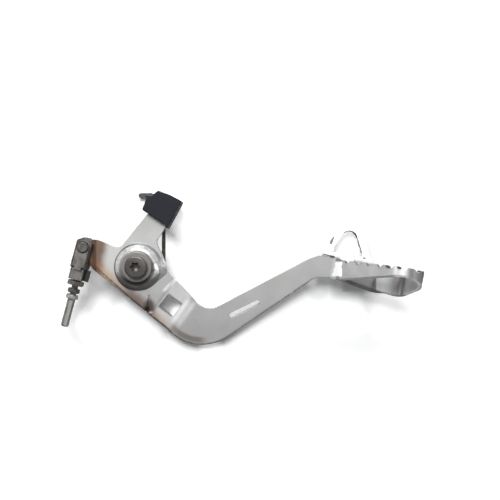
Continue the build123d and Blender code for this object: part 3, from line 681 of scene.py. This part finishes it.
class PEDAL_OT_fasteners(bpy.types.Operator):
    """Dark steel on the pivot bolt and its washers, plain metals on the sleeve and the bearings"""

    bl_idname = "pedal.fasteners"
    bl_label = "Pivot finish"

    def execute(self, context):
        bolt = self.cloudy("Dark bolt steel", "#595653", "#433F3D", roughness=0.4, detail=self.head)
        give(bolt, "pivot_bolt")
        collar = self.cloudy("Collar steel", "#878481", "#706D6A", roughness=0.42)
        give(collar, "collar_washer")
        turned = self.cloudy("Turned steel", "#9A9896", "#7E7B79", roughness=0.35)
        give(turned, "pivot_sleeve", "thrust_washer")
        bronze = self.cloudy("Bearing bronze", "#A8814E", "#8A673B", roughness=0.4)
        give(bronze, "outer_bush", "inner_bush")
        return {"FINISHED"}

    def cloudy(self, name, light, deep, roughness, detail=None):
        """Metal with cloudy patches of two tones and a fine grain; a piece may have a detail of its own."""
        material, tree, output, place = new_material(name)
        colour = blend(tree, noise(tree, place, size=4, detail=4), srgb(light), srgb(deep))
        if detail:
            colour = detail(tree, place, colour)
        grain = noise(tree, place, size=0.3, detail=2)
        metal(tree, output, colour, roughness, metallic=0.8, height=grain, depth=0.01)
        return material

    def head(self, tree, place, colour):
        """A painted highlight on the upper right of the bolt's head.

        Painted shade lies in the socket, with a painted glint on its floor.
        """
        head_highlight = fade(tree, along(tree, place, PIVOT, BOLT_HIGHLIGHT_WAY), *BOLT_HIGHLIGHT_ALONG)
        colour = lay_stain_or_light(tree, colour, BOLT_HIGHLIGHT, head_highlight)
        floor = fade(tree, inboard(tree, place), *SOCKET_FLOOR)
        colour = lay_stain_or_light(tree, colour, SOCKET_SHADE, floor)
        return lay_stain_or_light(tree, colour, GLINT, floor, spot(tree, place, *GLINT_MARK))


# Clevis: the push rod's line from the pin, and painted shade, a painted highlight and a darker thread along
# it

CLEVIS_PIN = (-42.4, 15.4)
ROD_DOWN = (-0.255, -0.967)
ROD_SIDE = (-0.967, 0.255)
# Clip: painted shade along the leaf's edges and round the pin's head
CLIP_EDGE_SHADE = ("#201D1B", 0.85)
CLIP_EDGE = (4.5, 5.1)
CLIP_RING = (4.3, 4.8, 0.4)
# Rod: painted highlight down its length
ROD_HIGHLIGHT = ("#C6C5C2", 0.45)
ROD_HIGHLIGHT_SIDE = (-1.4, 0.0, 1.0)
ROD_HIGHLIGHT_DOWN = (42.0, 44.0)
COLLAR = ("#D8D7D4", 0.25)
COLLAR_DOWN = (39.0, 42.0, 0.6)
# Threaded end: darker, up to the second collar
THREAD_DARK = ("#45423F", 0.8)
THREAD_DARK_UP = (38.6, 37.4)
TONGUE = ("#383C3D", 1.0)
TONGUE_UP = (50, 54)
DUST_NOISE = (0.4, 0.65)


class PEDAL_OT_clevis(bpy.types.Operator):
    """Dull zinc with brown dust on the clevis and the push rod, and dark spring steel"""

    bl_idname = "pedal.clevis"
    bl_label = "Clevis and spring finish"

    def execute(self, context):
        zinc = self.dull("Dull zinc", "#5B5856", "#4C4641", metallic=0.7)
        give(zinc, "clevis_fork", "clevis_pin", "lock_nut")
        clip = self.dull("Clip steel", "#72706D", "#5F5C58", metallic=0.7, detail=self.rim)
        give(clip, "clevis_clip")
        rod = self.dull("Rod steel", "#72716E", "#5E5C5A", metallic=0.75, detail=self.boot_end)
        give(rod, "push_rod")
        wire = self.dull("Spring steel", "#56564C", "#3E3E36", metallic=0.7, detail=self.tongue)
        give(wire, "return_spring")
        return {"FINISHED"}

    def dull(self, name, light, dust, metallic, detail=None):
        """Weathered metal: brown dust lies in soft patches, and a piece may have a detail of its own."""
        material, tree, output, place = new_material(name)
        patch = fade(tree, noise(tree, place, size=5, detail=5), *DUST_NOISE)
        colour = blend(tree, patch, srgb(light), srgb(dust))
        if detail:
            colour = detail(tree, place, colour)
        grain = noise(tree, place, size=0.4, detail=2)
        metal(tree, output, colour, roughness=0.5, metallic=metallic, height=grain, depth=0.015)
        return material

    def rim(self, tree, place, colour):
        """Painted shade along the long edges of the clip's leaf, and round the pin's head."""
        side = size_of(tree, along(tree, place, CLEVIS_PIN, ROD_SIDE))
        ring = band(tree, away(tree, place, CLEVIS_PIN), *CLIP_RING)
        return lay_stain_or_light(tree, colour, CLIP_EDGE_SHADE, most(tree, fade(tree, side, *CLIP_EDGE), ring))

    def boot_end(self, tree, place, colour):
        """Darker on the rod's threaded end as far as its second collar, then a painted highlight down the
        rod.
        """
        down = along(tree, place, CLEVIS_PIN, ROD_DOWN)
        side = along(tree, place, CLEVIS_PIN, ROD_SIDE)
        rod_highlight = times(tree, band(tree, side, *ROD_HIGHLIGHT_SIDE), fade(tree, down, *ROD_HIGHLIGHT_DOWN))
        colour = lay_stain_or_light(tree, colour, ROD_HIGHLIGHT, rod_highlight)
        colour = lay_stain_or_light(tree, colour, COLLAR, band(tree, down, *COLLAR_DOWN))
        return lay_stain_or_light(tree, colour, THREAD_DARK, fade(tree, down, *THREAD_DARK_UP))

    def tongue(self, tree, place, colour):
        """Plain grey where the spring's flattened end comes out past the cap."""
        up = along(tree, place, PIVOT, UPWARD)
        return lay_stain_or_light(tree, colour, TONGUE, fade(tree, up, *TONGUE_UP))


class PEDAL_OT_spring(bpy.types.Operator):
    """Return spring that winds up in use: its hooked leg stays with the frame, the other goes with the
    lever.

    A loose copy of its mesh takes the place of the piece, which is hidden.
    """

    bl_idname = "pedal.spring"
    bl_label = "Winding spring"

    def execute(self, context):
        bpy.ops.object.select_all(action="DESELECT")
        NODES["return_spring"].select_set(True)
        context.view_layer.objects.active = NODES["return_spring"]
        bpy.ops.object.duplicate(linked=False)
        spring = context.view_layer.objects.active
        bpy.ops.object.parent_clear(type="CLEAR_KEEP_TRANSFORM")
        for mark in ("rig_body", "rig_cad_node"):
            del spring[mark]
        spring.name = "wound_spring"
        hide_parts("return_spring")
        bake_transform(spring)
        return {"FINISHED"}


class PEDAL_OT_rubber(bpy.types.Operator):
    """Blue-black rubber on the stop cap and the dust rings"""

    bl_idname = "pedal.rubber"
    bl_label = "Rubber finish"

    def execute(self, context):
        give(self.rubber(), "stop_cap", "outer_seal", "inner_seal")
        return {"FINISHED"}

    def rubber(self):
        """Moulded rubber, blue-black, with a faint bloom."""
        material, tree, output, place = new_material("Blue-black rubber")
        colour = blend(tree, noise(tree, place, size=6), srgb("#191B22"), srgb("#1F2127"))
        grain = noise(tree, place, size=0.5, detail=2)
        metal(
            tree, output, colour, roughness=0.6, metallic=0.0, height=grain, depth=0.02, edge=0.4,
            gloss=0.15,
        )
        return material


# Card: its form in metres, with the line nearest to the pedal, and its colours

CARD_BOW = 0.5
CARD_NEAREST = (0.065, -0.004)
CARD_TALL = 4
CARD_FACETS = 512
CARD_TONES = ("#F4F4F4", "#8C8C8C")

# Card: painted shade under the lever's end and beside the rod

SHADES = (((168, -15), 8, 14, 0.45), ((145, -18), 6, 8, 0.3))
WEDGE = ((171.6, -14.4), (0.308, 0.951))
WEDGE_SLANT = -0.352
WEDGE_UP = (-11.0, -5.0)
WEDGE_ACROSS = (-12.0, -4.0)
WEDGE_DOWN = (20.0, 10.0)
WEDGE_STRENGTH = 0.75
ROD_SHADE = ((-66.7, -50.8), (0.581, 0.813), (2.0, 30.0, 5.0), (-2.0, 2.0, 3.5))
ROD_SHADE_STRENGTH = 0.22

# Card: its own light, everywhere, all round, low down, in the slot and below the rear flank

GLOW_EVERYWHERE = 0.03
ROUND_CENTRE = (75, -10)
ROUND_OUT = (120, 190)
ROUND_STRENGTH = 0.4
LOW_DOWN = (-66.0, -96.0)
LOW_STRENGTH = 0.3
SLOT_GLOW = ((83.8, -34.5), (0.895, 0.446), (-14.0, 14.0, 3.0), (-0.9, 4.0, 0.9))
SLOT_STRENGTH = 0.42
FLANK_GLOW = ((1.8, -37), (-0.597, -0.803), (5.0, 14.0, 5.0), (-16.0, 16.0, 10.0))
FLANK_STRENGTH = 0.26
GLOWS = (
    ((222, -34), 20, 24, 0.5), ((172, -41), 9, 13, 0.25), ((56, -68), 4, 9, 0.35), ((34, 44), 8, 18, 0.5),
    ((-15, 55), 3, 7, 0.3), ((18, 46), 3, 7, 0.3), ((14, 18), 5, 10, 0.6), ((29.5, -38), 2, 6, 0.35),
    ((139, -12.5), 2, 5, 0.2), ((171, 19), 9, 8, 0.3), ((-38, -10), 2, 10, 0.25), ((-40, -32), 4, 12, 0.2),
    ((-46, -19), 3, 9, 0.18), ((-44, -50), 8, 13, 0.35),
)

# Lights: name, place and size in metres, power, and whether matt faces take it

LIT_POINT = (0.09, 0, 0)
LIGHTS = (
    ("Key", (-0.06, -1.0, 0.6), (0.7, 0.55), 17, True),
    ("Back", (0.2, 0.8, 0.5), (0.8, 0.8), 8, True),
    ("Top sheen", (0.05, -0.35, 1.1), (1.2, 0.4), 6, False),
    ("Left sheen", (-1.1, -0.45, 0.25), (0.5, 0.9), 5, False),
    ("Low sheen", (0.75, -0.75, -0.62), (0.7, 0.7), 4, False),
)
SKY = "#F2F4F6"
SKY_AS_LIGHT = 0.28
SKY_AS_SEEN = 0.95
SENSOR_WIDTH = 36


# Stage

class PEDAL_OT_stage(bpy.types.Operator):
    """White backdrop behind the pedal, a soft light from above and the photograph's camera"""

    bl_idname = "pedal.stage"
    bl_label = "Stage"

    def execute(self, context):
        context.scene.view_settings.view_transform = "Standard"
        self.backdrop()
        self.world(context.scene)
        for lamp in LIGHTS:
            self.light(*lamp)
        self.camera(context.scene, context.scene.pedal_stage)
        return {"FINISHED"}

    def backdrop(self):
        """Pale sheet, gently bowed towards the lever's bend, seen only from the front."""
        middle = (CARD_NEAREST[0], CARD_NEAREST[1] + CARD_BOW, 0)
        bpy.ops.mesh.primitive_cylinder_add(
            vertices=CARD_FACETS, radius=CARD_BOW, depth=CARD_TALL, location=middle
        )
        panel = bpy.context.object
        panel.name = "Backdrop"
        bpy.ops.object.transform_apply(location=True, rotation=True, scale=True)
        bpy.ops.object.shade_smooth_by_angle()
        panel.data.materials.append(self.card())
        panel.visible_shadow = False

    def card(self):
        """White card with painted shade, which lights itself a little and is clear from behind."""
        material, tree, output, place = new_material("White card")
        white = blend(tree, self.shade(tree, place), *map(srgb, CARD_TONES))
        paper = node(tree, "ShaderNodeBsdfDiffuse", {"Color": white})
        seen = node(tree, "ShaderNodeLightPath").outputs["Is Camera Ray"]
        glow = node(tree, "ShaderNodeEmission", {"Strength": times(tree, seen, self.lit(tree, place))})
        front = node(tree, "ShaderNodeAddShader", {0: paper.outputs[0], 1: glow.outputs[0]})
        clear = node(tree, "ShaderNodeBsdfTransparent")
        behind = node(tree, "ShaderNodeNewGeometry").outputs["Backfacing"]
        mixed = node(tree, "ShaderNodeMixShader", {0: behind, 1: front.outputs[0], 2: clear.outputs[0]})
        tree.links.new(mixed.outputs[0], output.inputs["Surface"])
        return material

    def shade(self, tree, place):
        """Mask of the shade painted on the card, which stays as it is at every pose."""
        corner, upward = WEDGE
        above = along(tree, place, corner, upward)
        across = along(tree, place, corner, FORWARD)
        wedge = fade(tree, scaled(tree, across, WEDGE_SLANT, above), *WEDGE_UP)
        wedge = times(tree, wedge, fade(tree, across, *WEDGE_ACROSS), fade(tree, above, *WEDGE_DOWN))
        wedge = times(tree, wedge, WEDGE_STRENGTH)
        rod = times(tree, strip(tree, place, *ROD_SHADE), ROD_SHADE_STRENGTH)
        return most(tree, spots(tree, place, SHADES), wedge, rod)

    def lit(self, tree, place):
        """How far the card lights itself: where the photograph shows no shadow, and all round the pedal."""
        far = away(tree, place, ROUND_CENTRE)
        up = along(tree, place, PIVOT, UPWARD)
        strength = most(
            tree,
            times(tree, fade(tree, far, *ROUND_OUT), ROUND_STRENGTH),
            times(tree, strip(tree, place, *SLOT_GLOW), SLOT_STRENGTH),
            times(tree, strip(tree, place, *FLANK_GLOW), FLANK_STRENGTH),
            times(tree, fade(tree, up, *LOW_DOWN), LOW_STRENGTH),
            spots(tree, place, GLOWS),
        )
        return math_node(tree, "ADD", strength, GLOW_EVERYWHERE)

    def world(self, scene):
        """Even pale surroundings, brighter to the camera than as light."""
        world = bpy.data.worlds.new("Studio")
        world.use_nodes = True
        tree = world.node_tree
        back = tree.nodes["Background"]
        back.inputs["Color"].default_value = srgb(SKY)
        seen = node(tree, "ShaderNodeLightPath").outputs["Is Camera Ray"]
        tree.links.new(passing(tree, seen, SKY_AS_LIGHT, SKY_AS_SEEN), back.inputs["Strength"])
        scene.world = world

    def light(self, name, place, size, power, on_matt):
        """Soft rectangular light aimed at the pedal; a sheen shows in polished faces, not in matt ones."""
        bpy.ops.object.light_add(type="AREA", location=place)
        lamp = bpy.context.object
        lamp.name = name
        lamp.data.shape = "RECTANGLE"
        lamp.data.size, lamp.data.size_y = size
        lamp.data.energy = power
        lamp.visible_diffuse = on_matt
        aim = Vector(LIT_POINT) - Vector(place)
        lamp.rotation_euler = aim.to_track_quat("-Z", "Y").to_euler()

    def camera(self, scene, setup):
        """Camera square to the pedal's side, as far away as the photograph's perspective shows."""
        place = (setup.aim_x, -setup.face - setup.distance, setup.aim_z)
        bpy.ops.object.camera_add(location=place, rotation=(math.pi / 2, 0, 0))
        camera = bpy.context.object
        camera.data.sensor_width = SENSOR_WIDTH
        camera.data.lens = SENSOR_WIDTH * setup.distance / setup.width
        scene.camera = camera


class PEDAL_PT_panel(bpy.types.Panel):
    """Finishes and stage of the pedal"""

    bl_idname = "PEDAL_PT_panel"
    bl_label = "Rear brake pedal"
    bl_space_type = "VIEW_3D"
    bl_region_type = "UI"
    bl_category = "Pedal"

    def draw(self, context):
        layout = self.layout
        for settings in (context.scene.pedal_finish, context.scene.pedal_stage):
            for name in settings.__annotations__:
                layout.prop(settings, name)
        for operator in OPERATORS:
            layout.operator(operator.bl_idname)


OPERATORS = (
    PEDAL_OT_lever, PEDAL_OT_fasteners, PEDAL_OT_clevis, PEDAL_OT_spring, PEDAL_OT_rubber, PEDAL_OT_stage,
)
CLASSES = (PedalFinish, PedalStage, *OPERATORS, PEDAL_PT_panel)


def register():
    for cls in CLASSES:
        bpy.utils.register_class(cls)
    bpy.types.Scene.pedal_finish = bpy.props.PointerProperty(type=PedalFinish)
    bpy.types.Scene.pedal_stage = bpy.props.PointerProperty(type=PedalStage)


def unregister():
    del bpy.types.Scene.pedal_stage
    del bpy.types.Scene.pedal_finish
    for cls in reversed(CLASSES):
        bpy.utils.unregister_class(cls)


def main():
    register()
    bpy.ops.pedal.lever()
    bpy.ops.pedal.fasteners()
    bpy.ops.pedal.clevis()
    bpy.ops.pedal.spring()
    bpy.ops.pedal.rubber()
    bpy.ops.pedal.stage()


if __name__ == "__main__":
    main()
